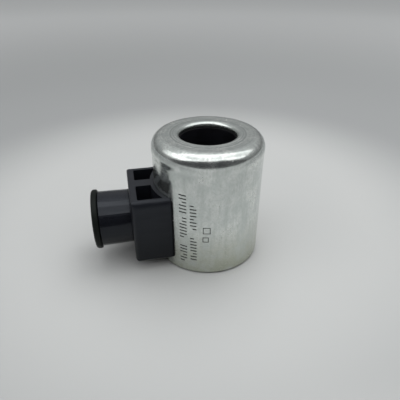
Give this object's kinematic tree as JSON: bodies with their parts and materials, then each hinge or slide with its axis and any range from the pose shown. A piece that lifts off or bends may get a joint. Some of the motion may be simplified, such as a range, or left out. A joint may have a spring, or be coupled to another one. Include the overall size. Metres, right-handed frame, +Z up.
{
  "type": "solenoid coil for a cartridge valve",
  "caption": "Round steel-cased solenoid coil with a central bore, a moulded side block with two open pockets, and a round side connector closed by a push-in dust plug.",
  "frame": {"origin": "middle of the whole object's footprint, on the surface it stands on; the bore axis stands 12.825 mm along +X from it", "axes": "+Z up along the bore, from the base plate to the shouldered top of the can; the connector points along -X"},
  "size_m": [0.0712, 0.0454, 0.0534],
  "materials": {
    "zinc_plated_steel": "satin bright zinc plating with fine spinning marks",
    "flux_steel": "bare turned steel",
    "black_nylon": "semi-matt moulded black nylon",
    "bobbin_nylon": "semi-matt moulded black nylon",
    "carrier_nylon": "semi-matt moulded dark grey nylon",
    "enamelled_copper": "enamelled copper wire",
    "tinned_brass": "bright tin plating",
    "insulating_film": "amber polyester film",
    "nitrile_rubber": "matt black rubber",
    "plug_rubber": "dull greenish black soft moulding"
  },
  "bodies": {
    "coil": {"steel_can": "zinc_plated_steel", "base_flux_plate": "zinc_plated_steel", "upper_flux_ring": "flux_steel", "bobbin": "bobbin_nylon", "upper_seal_ring": "nitrile_rubber", "lower_seal_ring": "nitrile_rubber", "copper_winding": "enamelled_copper", "winding_tape": "insulating_film", "start_lead_pad": "insulating_film", "start_lead_wire": "enamelled_copper", "finish_lead_wire": "enamelled_copper", "start_lead_sleeving": "insulating_film", "finish_lead_sleeving": "insulating_film", "crimp_ferrule_lower": "tinned_brass", "crimp_ferrule_upper": "tinned_brass", "contact_pin_lower": "tinned_brass", "contact_pin_upper": "tinned_brass", "contact_carrier": "carrier_nylon", "connector_housing": "black_nylon"},
    "plug": {"dust_plug": "plug_rubber"}
  },
  "joints": [
    {"name": "dust_plug_pull", "type": "slide", "parent": "coil", "child": "plug", "axis": [-1, 0, 0], "range_m": [0, 0.014]}
  ]
}
